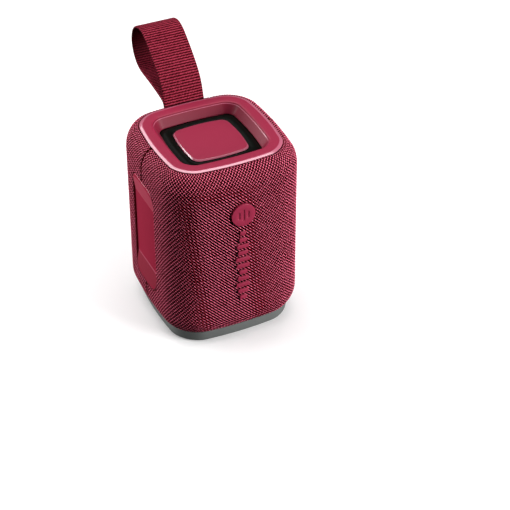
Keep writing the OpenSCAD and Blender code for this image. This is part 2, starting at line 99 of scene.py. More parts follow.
ROW_H = 1.08               # millimetres to a step up, about
SNAP = 0.26                # points nearer than this to an edge are moved on to it
FACE_OUT = 34.0            # points further out than this lie on one of the four upright faces
NOTCH_OUT = 25.0           # and further back than this, beside the notch for the webbing
# Round the front left corner the threads that run down to the right lie on top. These are
# shares of the way round: where that starts and is full, and where it fades and ends.
OVERLAID = (0.54, 0.60, 0.655, 0.735)
OVERLAID_TOP = (0.80, 0.93)  # shares of the way up between which that fades
OVERLAY = 0.55             # how much lower the other threads lie there
WEAVE_OVERLAID = 0.12      # how much the threads on top rise and dip there

# The webbing
WEBBING_W, WEBBING_T = 23.0, 1.4
SLACK = 0.08               # taken off each face, which leaves room for the ribs
FLAT_HALF_W = 10.7         # half the width over which the ribs have their full height
RIB_PITCH = 1.45           # spacing of its ribs
RIB_HEIGHT = 0.05          # how far they stand out
WARP_PITCH = 0.85          # spacing of the threads that run along it
INNER_FACE_U = 40.0        # added to UV x on its inner face
HEAD_END = (72.0, 104.0)   # how far along it the shade inside its head fades out
BEND_Y = 35.3              # where it leaves the slot
SLOT_SIDE = 0.66           # how far each of its ends lies from the slot's middle
LOOP_HEAD = (67.0, 125.8)  # middle of its round head, as (y, z)
LOOP_R = 13.3
HEAD_START, HEAD_TURN = 124, 216  # degrees at which the head starts, and through which it turns
FRONT_LEG = [
    (36.0, 111.6), (36.9, 115.0), (38.7, 118.5), (41.2, 121.9), (44.4, 125.1), (48.0, 128.3),
    (51.8, 131.3), (55.7, 134.2),
]
LOWER_LEG = [(58.2, 112.3), (50.0, 111.8), (43.4, 111.1), (38.6, 110.4)]

# ---- colours ----

CRIMSON = (0.290, 0.010, 0.044)
CRIMSON_PANEL = (0.29, 0.016, 0.042)
# Darker crimson of the well's walls: painted shade
CRIMSON_WELL_SHADED = (0.18, 0.011, 0.030)
# Pale colour of the polished chamfers: a painted highlight
CRIMSON_POLISHED_HIGHLIT = (0.50, 0.12, 0.19)
# Knit thread colours: the light one is a painted highlight on the crowns, the dark one painted
# shade down the sides
FABRIC_THREAD_HIGHLIT = (1.0, 0.20, 0.33)
FABRIC_THREAD_SHADED = (0.26, 0.0005, 0.009)
FABRIC_HOLE = (0.004, 0.0, 0.0004)
# Webbing colours: a painted highlight on the rib tops, painted shade down their sides, and darker
# painted shade in the grooves
WEBBING_RIB_HIGHLIT = (0.44, 0.042, 0.082)
WEBBING_RIB_SHADED = (0.085, 0.001, 0.006)
WEBBING_GROOVE_SHADE = (0.012, 0.0, 0.001)


# ---- materials ----


def new_material(name):
    material = bpy.data.materials.new(name)
    material.use_nodes = True
    tree = material.node_tree
    shader = tree.nodes["Principled BSDF"]
    return material, tree, shader


def add(tree, kind, inputs=None, **settings):
    """Adds a node. inputs maps a socket's name or number to a value or to another node's output."""
    node = tree.nodes.new("ShaderNode" + kind)
    for key, value in settings.items():
        setattr(node, key, value)
    for key, value in (inputs or {}).items():
        if isinstance(value, bpy.types.NodeSocket):
            tree.links.new(value, node.inputs[key])
        else:
            node.inputs[key].default_value = value
    return node


def maths(tree, operation, a, b=0.0, c=0.0, clamp=False):
    node = add(tree, "Math", {0: a, 1: b, 2: c}, operation=operation, use_clamp=clamp)
    return node.outputs[0]


def weighted(tree, a, share_a, b, share_b):
    """share_a of a and share_b of b, added up."""
    return maths(tree, "MULTIPLY_ADD", a, share_a, maths(tree, "MULTIPLY", b, share_b))


def wave(tree, value, pitch):
    """From 1 down to 0 and back as value goes up by pitch."""
    turned = maths(tree, "MULTIPLY", value, 2 * math.pi / pitch)
    return maths(tree, "MULTIPLY_ADD", maths(tree, "COSINE", turned), 0.5, 0.5)


def ramp_between(tree, value, low, high, to_low=0.0, to_high=1.0):
    """value between low and high, mapped smoothly to to_low and to_high."""
    node = add(
        tree,
        "MapRange",
        {"Value": value, "From Min": low, "From Max": high, "To Min": to_low, "To Max": to_high},
        interpolation_type="SMOOTHSTEP",
    )
    return node.outputs["Result"]


def mixed(tree, factor, a, b):
    """Colour a where factor is 0 and b where it is 1."""
    node = add(tree, "Mix", {"Factor": factor}, data_type="RGBA")
    for socket, value in ((node.inputs[6], a), (node.inputs[7], b)):
        if isinstance(value, bpy.types.NodeSocket):
            tree.links.new(value, socket)
        else:
            socket.default_value = (*value, 1.0)
    return node.outputs[2]


def scaled(colour, share):
    return tuple(min(1.0, share * c) for c in colour)


def noise(tree, scale, detail=3.0, vector=None, rough=0.55):
    """Noise whose scale is in cycles per unit of vector, or per metre of the part without one."""
    if vector is None:
        vector = add(tree, "TexCoord").outputs["Object"]
    node = add(
        tree,
        "TexNoise",
        {"Vector": vector, "Scale": scale, "Detail": detail, "Roughness": rough},
    )
    return node.outputs["Fac"]


def bump(tree, shader, height, strength, distance):
    node = add(tree, "Bump", {"Height": height, "Strength": strength, "Distance": distance})
    tree.links.new(node.outputs["Normal"], shader.inputs["Normal"])


def moulded(
    name, colour, roughness, grain=2600.0, grain_depth=0.00002, vary=0.12, metallic=0.0,
    specular=0.5, coat=0.0,
):
    """Moulded plastic, rubber or metal: fine surface grain, soft clouding of colour and gloss.

    grain is the grain's scale and grain_depth its depth in metres. vary is the share by which
    the colour goes up and down.
    """
    material, tree, shader = new_material(name)
    cloudy = noise(tree, 140.0, 2.0)
    fine = noise(tree, grain, 2.0)
    colour = mixed(tree, cloudy, scaled(colour, 1 - vary), scaled(colour, 1 + vary))
    tree.links.new(colour, shader.inputs["Base Color"])
    rough = maths(tree, "MULTIPLY_ADD", fine, 0.16, roughness - 0.08)
    tree.links.new(rough, shader.inputs["Roughness"])
    shader.inputs["Metallic"].default_value = metallic
    shader.inputs["Specular IOR Level"].default_value = specular
    shader.inputs["Coat Weight"].default_value = coat
    shader.inputs["Coat Roughness"].default_value = 0.1
    bump(tree, shader, fine, 0.35, grain_depth)
    return material


def thread_ridge(tree, value):
    """1 along the middle of each thread, down to 0 at its edges. Threads lie on half numbers."""
    inside = maths(tree, "FRACT", maths(tree, "ADD", value, 0.5))
    from_hole = maths(tree, "ABSOLUTE", maths(tree, "SUBTRACT", inside, 0.5))
    from_thread = maths(tree, "SUBTRACT", 0.5, from_hole)
    share = maths(tree, "DIVIDE", from_thread, THREAD_HALF_W, clamp=True)
    square = maths(tree, "MULTIPLY", share, share)
    return maths(tree, "SQRT", maths(tree, "SUBTRACT", 1.0, square))


def overlaid_share(tree, u, v):
    """1 where the threads that run down to the right lie on top, and 0 elsewhere."""
    starts = ramp_between(tree, u, OVERLAID[0], OVERLAID[1])
    ends = ramp_between(tree, u, OVERLAID[2], OVERLAID[3])
    below = ramp_between(tree, v, OVERLAID_TOP[0], OVERLAID_TOP[1], 1.0, 0.0)
    return maths(tree, "MULTIPLY", maths(tree, "SUBTRACT", starts, ends), below)


def woven_height(tree, steps_u, steps_v, overlaid):
    """Height of the threads of both slants, which weave over and under, and 0 in the holes."""
    p = maths(tree, "MULTIPLY", maths(tree, "ADD", steps_u, steps_v), 0.5)
    q = maths(tree, "MULTIPLY", maths(tree, "SUBTRACT", steps_u, steps_v), 0.5)
    turn_p = maths(tree, "SINE", maths(tree, "MULTIPLY", p, math.pi))
    turn_q = maths(tree, "SINE", maths(tree, "MULTIPLY", q, math.pi))
    over = maths(tree, "MULTIPLY", turn_p, turn_q)
    weaving = maths(tree, "MULTIPLY_ADD", over, WEAVE, 1 - WEAVE)
    on_top = maths(tree, "MULTIPLY_ADD", over, WEAVE_OVERLAID, 1 - WEAVE_OVERLAID)
    gain = maths(tree, "SUBTRACT", on_top, weaving)
    first = maths(tree, "MULTIPLY_ADD", overlaid, gain, weaving)
    first = maths(tree, "MULTIPLY", thread_ridge(tree, p), first)
    second = maths(tree, "MULTIPLY_ADD", over, -WEAVE, 1 - WEAVE)
    second = maths(tree, "MULTIPLY", thread_ridge(tree, q), second)
    lowered = maths(tree, "MULTIPLY_ADD", overlaid, -OVERLAY, 1.0)
    return maths(tree, "MAXIMUM", first, maths(tree, "MULTIPLY", second, lowered))


def knit_material(name, thread, thread_shaded, hole):
    """The fabric: threads on the two diagonals, weaving over and under, round dark holes. Painted
    highlight on the threads' crowns, painted shade down their sides.
    """
    material, tree, shader = new_material(name)
    uv = add(tree, "UVMap", uv_map="weave").outputs["UV"]
    u, v, _ = add(tree, "SeparateXYZ", {0: uv}).outputs
    steps_u = maths(tree, "MULTIPLY", u, STEPS_ROUND)
    steps_v = maths(tree, "MULTIPLY", v, STEPS_UP)
    threads = woven_height(tree, steps_u, steps_v, overlaid_share(tree, u, v))
    hem = add(tree, "Attribute", attribute_name="hem").outputs["Fac"]
    height = maths(tree, "MAXIMUM", threads, maths(tree, "MULTIPLY", hem, HEM_HEIGHT))
    cover = ramp_between(tree, height, 0.38, 0.62)
    place = add(tree, "CombineXYZ", {0: steps_u, 1: steps_v}).outputs[0]
    strands = noise(tree, 0.9, 2.0, place, rough=0.5)
    fibre = noise(tree, 9000.0, 2.0)
    # Painted highlight and painted shade: the higher a thread stands, the lighter its colour
    tone = weighted(tree, strands, 0.35, height, 0.85)
    lit = mixed(tree, ramp_between(tree, tone, 0.62, 1.0), thread_shaded, thread)
    # Painted shade: the hems along seams and openings are darkened to half the shaded thread colour
    lit = mixed(tree, hem, lit, scaled(thread_shaded, 0.5))
    tree.links.new(mixed(tree, cover, hole, lit), shader.inputs["Base Color"])
    rough = maths(tree, "MULTIPLY_ADD", cover, -0.50, 0.95)
    tree.links.new(rough, shader.inputs["Roughness"])
    shader.inputs["Specular IOR Level"].default_value = 0.06
    bump(tree, shader, maths(tree, "MULTIPLY_ADD", fibre, 0.12, height), 0.8, 0.00022)
    return material


def webbing_material(name, thread, thread_shaded, gap):
    """Ribbed webbing: UV x runs across in millimetres, UV y along in millimetres."""
    material, tree, shader = new_material(name)
    uv = add(tree, "UVMap", uv_map="weave").outputs["UV"]
    across, along, _ = add(tree, "SeparateXYZ", {0: uv}).outputs
    wobble = maths(tree, "SUBTRACT", noise(tree, 1.1, 2.0, uv, rough=0.5), 0.5)
    rib = wave(tree, maths(tree, "MULTIPLY_ADD", wobble, 0.9, along), RIB_PITCH)
    height = weighted(tree, rib, 0.7, wave(tree, across, WARP_PITCH), 0.3)
    strands = noise(tree, 2.2, 3.0, uv, rough=0.5)
    # Painted highlight and painted shade: the higher the rib, the lighter its colour
    tone = weighted(tree, strands, 0.7, height, 0.6)
    lit = mixed(tree, ramp_between(tree, tone, 0.55, 1.0), thread_shaded, thread)
    # Painted shade: the inner face is darkened inside the loop's head, fading out along it
    inner = maths(tree, "GREATER_THAN", across, INNER_FACE_U / 2)
    in_head = ramp_between(tree, along, HEAD_END[0], HEAD_END[1], 1.0, 0.0)
    lit = mixed(tree, maths(tree, "MULTIPLY", inner, in_head), lit, scaled(thread_shaded, 0.5))
    # Painted shade in the grooves between the ribs
    colour = mixed(tree, ramp_between(tree, height, 0.12, 0.5), gap, lit)
    tree.links.new(colour, shader.inputs["Base Color"])
    shader.inputs["Roughness"].default_value = 0.70
    shader.inputs["Specular IOR Level"].default_value = 0.04
    bump(tree, shader, height, 0.7, 0.00018)
    return material


knit = knit_material("knit_fabric", FABRIC_THREAD_HIGHLIT, FABRIC_THREAD_SHADED, FABRIC_HOLE)
webbing = webbing_material("ribbed_webbing", WEBBING_RIB_HIGHLIT, WEBBING_RIB_SHADED, WEBBING_GROOVE_SHADE)
bezel_plastic = moulded(
    "bezel_satin_plastic", CRIMSON, 0.46, grain=3200.0, vary=0.03, specular=0.36
)
# Polished, coated chamfers: real gloss, with a pale base colour that is a painted highlight
polish_and_painted_highlight = moulded(
    "bezel_polished_edge", CRIMSON_POLISHED_HIGHLIT, 0.22, grain=1500.0, vary=0.04, specular=1.0, coat=1.0
)
# Painted shade: the well's walls are a darker crimson than the bezel
well_painted_shade = moulded(
    "bezel_well_plastic", CRIMSON_WELL_SHADED, 0.42, grain=3200.0, vary=0.03, specular=0.18
)
panel_rubber = moulded(
    "panel_soft_touch", CRIMSON_PANEL, 0.55, grain=3600.0, vary=0.04, specular=0.06
)
# Painted reflection: the upper ramp is a lighter colour of the same rubber
upper_ramp_painted_reflection = moulded(
    "panel_upper_ramp", (0.43, 0.050, 0.090), 0.42, grain=3600.0, vary=0.05, specular=0.25
)
# Painted highlight: the rounded edges and creases are a lighter colour of the same rubber
panel_edge_painted_highlight = moulded(
    "panel_edge_painted_highlight", (0.50, 0.10, 0.16), 0.34, grain=1500.0, vary=0.04, specular=0.5
)
# Painted shade: the lower ramp is a darker colour of the same rubber
lower_ramp_painted_shade = moulded(
    "panel_lower_ramp", (0.24, 0.018, 0.038), 0.48, grain=3600.0, vary=0.05, specular=0.12
)
badge_plastic = moulded("badge_plastic", (0.33, 0.025, 0.064), 0.36, vary=0.05, specular=0.3)
black_plastic = moulded(
    "black_moulded_plastic", (0.016, 0.016, 0.017), 0.52, grain=1500.0, grain_depth=0.00004
)
black_rubber = moulded(
    "black_butyl_rubber", (0.003, 0.004, 0.003), 0.36, grain=2200.0, vary=0.2, specular=0.04
)
grey_rubber = moulded(
    "grey_foot_rubber", (0.135, 0.145, 0.140), 0.62, grain=1800.0, grain_depth=0.00005
)
black_foam = moulded("black_foam", (0.02, 0.02, 0.021), 0.95, grain_depth=0.0003, vary=0.5)
steel = moulded(
    "zinc_plated_steel", (0.60, 0.61, 0.63), 0.32, grain=4000.0, vary=0.1, metallic=1.0
)
copper = moulded(
    "enamelled_copper", (0.62, 0.26, 0.12), 0.3, grain=5000.0, vary=0.25, metallic=1.0
)
ferrite = moulded(
    "sintered_ferrite", (0.055, 0.06, 0.066), 0.6, grain=3000.0, grain_depth=0.00006, vary=0.3
)
cone_paper = moulded(
    "coated_cone_paper", (0.02, 0.021, 0.024), 0.7, grain=1200.0, grain_depth=0.0001, vary=0.4
)
spider_cloth = moulded(
    "phenolic_cloth", (0.45, 0.28, 0.09), 0.8, grain=2400.0, grain_depth=0.0002, vary=0.3
)
solder_mask = moulded(
    "green_solder_mask", (0.012, 0.11, 0.035), 0.28, grain=900.0, vary=0.25, coat=0.4
)
epoxy = moulded("moulded_epoxy", (0.022, 0.023, 0.025), 0.5, grain=3000.0)
battery_wrap = moulded(
    "battery_shrink_wrap", (0.02, 0.09, 0.30), 0.25, grain=300.0, vary=0.1, coat=0.5
)
frosted = moulded("frosted_light_pipe", (0.82, 0.84, 0.86), 0.35, grain=3500.0, vary=0.05)

SLOT_MATERIAL = {
    "fabric": knit,
    "webbing": webbing,
    "bezel_plastic": bezel_plastic,
    "panel_rubber": panel_rubber,
    "badge_plastic": badge_plastic,
    "black_plastic": black_plastic,
    "grey_rubber": grey_rubber,
    "black_rubber": black_rubber,
    "black_foam": black_foam,
    "steel": steel,
    "magnet": ferrite,
    "copper": copper,
    "cone_paper": cone_paper,
    "spider_cloth": spider_cloth,
    "circuit_board": solder_mask,
    "component_black": epoxy,
    "battery_wrap": battery_wrap,
    "lens": frosted,
}
NODE_SLOT = {s["node"]: s["material_slot"] for s in frame["record"]["subparts"]}
NODE_BODY = {n: b for b, nodes in frame["record"]["behaviour"]["bodies"].items() for n in nodes}


# ---- mesh helpers ----

CORNER_STEPS, SIDE_STEPS = 14, 12  # of the outlines of moulded pieces


def add_to_scene(name, mesh):
    ob = bpy.data.objects.new(name, mesh)
    bpy.context.scene.collection.objects.link(ob)
    return ob


def new_object(name, points, faces, materials, sharp_angle=35.0):
    """A smooth-shaded mesh object from points in millimetres."""
    mesh = bpy.data.meshes.new(name)
    mesh.from_pydata([tuple(float(c) * MM for c in p) for p in points], [], faces)
    mesh.validate()
    for material in materials:
        mesh.materials.append(material)
    mesh.shade_smooth()
    mesh.set_sharp_from_angle(angle=math.radians(sharp_angle))
    return add_to_scene(name, mesh)


def face_outward(mesh):
    """Makes every face of a closed mesh look outward."""
    bm = bmesh.new()
    bm.from_mesh(mesh)
    bmesh.ops.recalc_face_normals(bm, faces=bm.faces)
    bm.to_mesh(mesh)
    bm.free()


def tube_faces(rings, n, band=False):
    """Faces through rings of n points: a tube with closed ends, or a band that closes on itself."""
    faces = []
    for j in range(rings if band else rings - 1):
        a = j * n
        b = (j + 1) % rings * n
        for i in range(n):
            k = (i + 1) % n
            faces.append((a + i, a + k, b + k, b + i))
    if not band:
        faces.append(tuple(range(n))[::-1])
        faces.append(tuple(range((rings - 1) * n, rings * n)))
    return faces


def outline(w, r, b, corner_steps, side_steps):
    """Closed outline of a square w wide over its bowed sides, by the part's own rule."""
    h = w / 2 - b
    c = h - r
    points = []
    for q in range(4):
        sx = 1 if q in (0, 3) else -1
        sy = 1 if q < 2 else -1
        for i in range(corner_steps + 1):
            a = math.radians(90 * (q + i / corner_steps))
            points.append((sx * c + r * math.cos(a), sy * c + r * math.sin(a)))
        for i in range(1, side_steps):
            s = c * (1 - 2 * i / side_steps)
            points.append([(s, h), (-h, s), (-s, -h), (h, -s)][q])
    p = np.array(points)
    share = p / h
    bow = np.sign(p) * b * (1 - share[:, ::-1] ** 2) * np.abs(share)
    return p + bow


def drops(sections):
    """Section points given as drops below the bezel's top, as heights."""
    return [(w, r, b, BODY_H - drop, f) for w, r, b, drop, f in sections]


def filleted(sections):
    """Rounds a section's corners. Each point is (w, r, b, z, fillet), and w is a full width."""
    out = []
    n = len(sections)
    for i in range(n):
        w, r, b, z, f = sections[i]
        here = np.array([w, r, b, z])
        if f <= 0:
            out.append(here)
            continue
        ends = []
        for other in (sections[i - 1], sections[(i + 1) % n]):
            d = np.array(other[:4]) - here
            length = math.hypot(d[0] / 2, d[3])
            ends.append(here + d * min(f, 0.45 * length) / max(length, 1e-9))
        for k in range(5):
            t = k / 4
            out.append((1 - t) ** 2 * ends[0] + 2 * t * (1 - t) * here + t * t * ends[1])
    return out


def loft(name, sections, materials, band=True, pick=None, **options):
    """A solid through rings of outline(). pick(j) gives the material number of the wall from ring
    j.
    """
    rings = [(outline(w, r, b, CORNER_STEPS, SIDE_STEPS), z) for w, r, b, z in sections]
    n = len(rings[0][0])
    points = [(x, y, z) for ring, z in rings for x, y in ring]
    faces = tube_faces(len(rings), n, band)
    ob = new_object(name, points, faces, materials, **options)
    if pick and len(ob.data.polygons) == len(faces):
        walls = len(faces) if band else len(faces) - 2
        number = [pick(i // n) if i < walls else 0 for i in range(len(faces))]
        ob.data.polygons.foreach_set("material_index", number)
    face_outward(ob.data)
    return ob


def apply_modifiers(ob):
    """Makes ob's mesh what its modifiers give, and removes them."""
    graph = bpy.context.evaluated_depsgraph_get()
    mesh = bpy.data.meshes.new_from_object(ob.evaluated_get(graph))
    old = ob.data
    ob.modifiers.clear()
    ob.data = mesh
    bpy.data.meshes.remove(old)


def stands_for(ob, node):
    """ob rides on its CAD node's body and is shown in its place."""
    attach(ob, NODE_BODY[node])
    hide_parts(node)


def softened(node, name, width, material, sharp_angle=32.0):
    """A copy of a CAD node with its edges rounded, shown in its place."""
    mesh = frame["nodes"][node].data.copy()
    mesh.name = name
    bm = bmesh.new()
    bm.from_mesh(mesh)
    bmesh.ops.remove_doubles(bm, verts=bm.verts, dist=1e-6)
    bmesh.ops.dissolve_limit(
        bm, angle_limit=math.radians(0.6), verts=bm.verts, edges=bm.edges, delimit=set()
    )
    bm.to_mesh(mesh)
    bm.free()
    mesh.materials.clear()
    mesh.materials.append(material)
    ob = add_to_scene(name, mesh)
    rounding = ob.modifiers.new("rounding", "BEVEL")
    rounding.width = width * MM
    rounding.segments = 3
    rounding.limit_method = "ANGLE"
    rounding.angle_limit = math.radians(sharp_angle)
    rounding.use_clamp_overlap = True
    apply_modifiers(ob)
    ob.data.shade_smooth()
    ob.data.set_sharp_from_angle(angle=math.radians(sharp_angle))
    stands_for(ob, node)
    return ob


# ---- the knitted cover ----


def rounded_rect_distance(x, y, w, h, r):
    """Distance outside a rounded rectangle, negative inside it."""
    dx = np.abs(x) - (w / 2 - r)
    dy = np.abs(y) - (h / 2 - r)
    outside = np.hypot(np.maximum(dx, 0), np.maximum(dy, 0))
    return outside + np.minimum(np.maximum(dx, dy), 0) - r


def shoulder_table():
    """Angles of the shoulder's quarter ellipse, and the share of its length up to each."""
    angles = np.linspace(0, math.pi / 2, 400)
    inward = np.diff(SHOULDER_IN * (1 - np.cos(angles)))
    upward = np.diff(SHOULDER_H * np.sin(angles))
    steps = np.hypot(inward, upward)
    return angles, np.concatenate([[0], np.cumsum(steps)]) / steps.sum()


def cover_profile(step, shoulder):
    """(inset, corner radius, z) of the cover at a height, from 0 at the foot to 1 at the bezel."""
    low_arc = BOTTOM_R * (math.pi / 2 - START_A)
    straight = SHOULDER_Z - (TURN_LOW_Z + BOTTOM_R)
    s = step * (low_arc + straight + SHOULDER_ARC)
    if s < low_arc:
        a = START_A + s / BOTTOM_R
        drawn = BOTTOM_R * (1 - math.sin(a))
        z = TURN_LOW_Z + BOTTOM_R - BOTTOM_R * math.cos(a)
        return drawn, CORNER_R - 0.6 * drawn, z
    if s < low_arc + straight:
        return 0.0, CORNER_R, TURN_LOW_Z + BOTTOM_R + s - low_arc
    t = min(1.0, (s - low_arc - straight) / SHOULDER_ARC)
    angles, shares = shoulder
    a = float(np.interp(t, shares, angles))
    drawn = SHOULDER_IN * (1 - math.cos(a))
    return drawn, CORNER_R - 0.86 * drawn, SHOULDER_Z + SHOULDER_H * math.sin(a)


def cover_grid():
    """Points of the cover's smooth face on a grid: rows up, columns round."""
    per_quarter = STEPS_ROUND * FINE // 4
    corner_length = CORNER_R * math.pi / 2
    side_length = 2 * (BODY_W / 2 - BULGE - CORNER_R)
    corner_steps = round(per_quarter * corner_length / (corner_length + side_length))
    side_steps = per_quarter - corner_steps
    total = 4 * per_quarter
    shoulder = shoulder_table()
    rows = []
    for j in range(STEPS_UP * FINE + 1):
        inset, r, z = cover_profile(j / (STEPS_UP * FINE), shoulder)
        ring = outline(BODY_W - 2 * inset, r, BULGE, corner_steps, side_steps)
        lean = -KNIT_LEAN * (j - STEPS_UP * FINE / 2)
        places = (np.arange(total) + lean) % total
        low = np.floor(places).astype(int) % total
        share = (places - np.floor(places))[:, None]
        ring = ring[low] * (1 - share) + ring[(low + 1) % total] * share
        rows.append(np.column_stack([ring, np.full(total, z)]))
    return np.array(rows), corner_steps, side_steps


def grid_normals(grid):
    """Outward unit normals of a grid of points that closes on itself along its columns."""
    along = np.roll(grid, -1, axis=1) - np.roll(grid, 1, axis=1)
    up = np.gradient(grid, axis=0)
    normal = np.cross(along, up)
    return normal / np.linalg.norm(normal, axis=2, keepdims=True)


def holes_distance(p):
    """Distance of points from the nearest opening's edge along the face, negative inside it."""
    x, y, z = p[:, 0], p[:, 1], p[:, 2]
    far = np.full(len(p), 99.0)
    gap = COVER_GAP
    side = rounded_rect_distance(
        y, z - PANEL_Z, PANEL_W + 2 * gap, PANEL_H + 2 * gap, PANEL_R + gap
    )
    port = rounded_rect_distance(x, z - PORT_Z, PORT_W + 2 * gap, PORT_H + 2 * gap, PORT_R + gap)
    badge = np.hypot(x, z - BADGE_Z) - BADGE_R - 0.1
    notch = rounded_rect_distance(
        x, z - (ANCHOR_Z - gap) - 10, 2 * (ANCHOR_HALF_W + gap), 20, 0.8
    )
    out = np.where(np.abs(x) > FACE_OUT, side, far)
    out = np.where(y > FACE_OUT, port, out)
    out = np.where(y > NOTCH_OUT, np.minimum(notch, out), out)
    return np.where(y < -FACE_OUT, badge, out)


def half_distance(p, side):
    """Distance along the face from the nearest edge of the half of the cover at side * Y."""
    return np.minimum(holes_distance(p), side * p[:, 1] - SEAM_GAP)


def knit_height(column, row):
    """Height of the knit at grid places: 1 on a crossing, lower along threads, 0 in a hole."""
    m = column / FINE
    n = row / FINE
    p, q = (m + n) / 2, (m - n) / 2
    from_p = np.abs((p % 1) - 0.5)
    from_q = np.abs((q % 1) - 0.5)
    round_share = (m / STEPS_ROUND) % 1
    overlaid = np.interp(round_share, OVERLAID, (0, 1, 1, 0))
    overlaid = OVERLAY * overlaid * np.interp(n / STEPS_UP, OVERLAID_TOP, (1, 0))
    first = np.cos(np.minimum(from_p * 2, 1) * math.pi / 2)
    second = np.cos(np.minimum(from_q * 2, 1) * math.pi / 2)
    ridge = np.maximum(first, second * (1 - overlaid))
    both = np.cos(from_p * math.pi) * np.cos(from_q * math.pi)
    return 0.75 * ridge + 0.25 * both


def moved_to_edge(p, chosen, side):
    """The chosen points, moved along the face onto the nearest edge."""
    p = p.copy()
    step = 0.02
    distance = half_distance(p, side)
    slope = np.zeros((len(p), 3))
    for axis in range(3):
        q = p.copy()
        q[:, axis] += step
        slope[:, axis] = (half_distance(q, side) - distance) / step
    length = (slope ** 2).sum(1)
    good = chosen & (length > 0.3) & (np.abs(distance) < 5)
    p[good] -= (distance / np.maximum(length, 0.2))[good, None] * slope[good]
    return p


def trimmed(p, quads, side):
    """The points with those near an edge moved on to it, and the faces that lie inside."""
    for _ in range(2):
        p = moved_to_edge(p, np.abs(half_distance(p, side)) < SNAP, side)
    quads = quads[half_distance(p, side)[quads].mean(1) > -0.02]
    used = np.zeros(len(p), bool)
    used[quads] = True
    for _ in range(3):
        p = moved_to_edge(p, used & (half_distance(p, side) < -0.01), side)
    return p, quads


def relief(p, height, from_ends, side):
    """How far each point stands off the cover's smooth face, and its share of hem."""
    edge = np.minimum(half_distance(p, side), from_ends)
    hem = np.exp(-((np.maximum(edge, 0) / HEM_W) ** 2))
    threads = -KNIT_DEEP + (KNIT_DEEP + KNIT_HIGH) * np.maximum(height, hem)
    fade = np.clip(edge / EDGE_W, 0, 1)
    rolled = -ROLL_IN * (1 - np.clip(edge / ROLL_W, 0, 1)) ** 2
    from_seam = side * p[:, 1] - SEAM_GAP
    puff = PUFF * np.exp(-(((from_seam - PUFF_AT) / PUFF_W) ** 2))
    return threads * (0.35 + 0.65 * fade) + rolled + puff, hem


def turn_in_edges(mesh, inward):
    """Adds a strip along a sheet's edges, turned in. inward holds a unit vector for each point."""
    bm = bmesh.new()
    bm.from_mesh(mesh)
    rim = [edge for edge in bm.edges if edge.is_boundary]
    made = bmesh.ops.extrude_edge_only(bm, edges=rim)["geom"]
    for vert in (g for g in made if isinstance(g, bmesh.types.BMVert)):
        others = [edge.other_vert(vert) for edge in vert.link_edges]
        old = next(other for other in others if 0 <= other.index < len(inward))
        depth = TURNED_IN_DEEP if abs(old.co.x) > FACE_OUT * MM else TURNED_IN
        vert.co = old.co + Vector(inward[old.index]) * depth * MM
    bm.to_mesh(mesh)
    bm.free()


def make_cover(name, first, last, side, grid, normals):
    """The half of the cover at side * Y, between two columns, with its edges turned in."""
    rows, total = grid.shape[:2]
    margin = math.ceil(KNIT_LEAN * STEPS_UP * FINE / 2) + 3
    columns = np.arange(first - margin, last + margin + 1)
    column, row = (a.reshape(-1) for a in np.meshgrid(columns, np.arange(rows)))
    p = grid[:, columns % total].reshape(-1, 3).copy()
    normal = normals[:, columns % total].reshape(-1, 3)
    index = np.arange(len(p)).reshape(rows, len(columns))
    corners = [index[:-1, :-1], index[:-1, 1:], index[1:, 1:], index[1:, :-1]]
    p, quads = trimmed(p, np.stack(corners, -1).reshape(-1, 4), side)
    from_ends = np.minimum(row, rows - 1 - row) * ROW_H / FINE
    off, hem = relief(p, knit_height(column, row), from_ends, side)
    p += normal * off[:, None]
    used = np.unique(quads)
    remap = -np.ones(len(p), int)
    remap[used] = np.arange(len(used))
    mesh = bpy.data.meshes.new(name)
    mesh.from_pydata((p[used] * MM).tolist(), [], remap[quads].tolist())
    share_of_hem = mesh.attributes.new("hem", "FLOAT", "POINT")
    share_of_hem.data.foreach_set("value", hem[used].astype(np.float32))
    u = (column / FINE / STEPS_ROUND)[used]
    v = (row / FINE / STEPS_UP)[used]
    at = np.zeros(len(mesh.loops), int)
    mesh.loops.foreach_get("vertex_index", at)
    weave = mesh.uv_layers.new(name="weave")
    weave.data.foreach_set("uv", np.column_stack([u[at], v[at]]).astype(np.float32).ravel())
    turn_in_edges(mesh, -normal[used])
    mesh.materials.append(knit)
    mesh.shade_smooth()
    return add_to_scene(name, mesh)


def build_cover():
    grid, corner_steps, side_steps = cover_grid()
    normals = grid_normals(grid)
    # Columns start where the first corner meets the right side. The sides' middles are half a
    # side on.
    quarter = corner_steps + side_steps
    left_middle = corner_steps + quarter + side_steps // 2
    right_middle = left_middle + 2 * quarter
    halves = (
        ("cover_front_knit", left_middle, right_middle, -1),
        ("cover_back_knit", right_middle, left_middle + 4 * quarter, 1),
    )
    for name, first, last, side in halves:
        ob = make_cover(name, first, last, side, grid, normals)
        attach(ob, "cabinet")
        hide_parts("fabric_sleeve")


# ---- bezel, radiator and foot ----

# Rings of each section between which the surface has its own material: polished edges with a
# painted highlight, and the well's wall with painted shade
BEZEL_EDGE = (12, 20)
INNER_EDGE = (27, 28)
WELL_WALL = (24, 42)
PLATE_EDGE = (12, 21)


def bezel_material_number(ring):
    """Material number of the bezel's surface from a ring to the next."""
    if BEZEL_EDGE[0] <= ring < BEZEL_EDGE[1] or INNER_EDGE[0] <= ring < INNER_EDGE[1]:
        return 1
    return 2 if WELL_WALL[0] <= ring < WELL_WALL[1] else 0


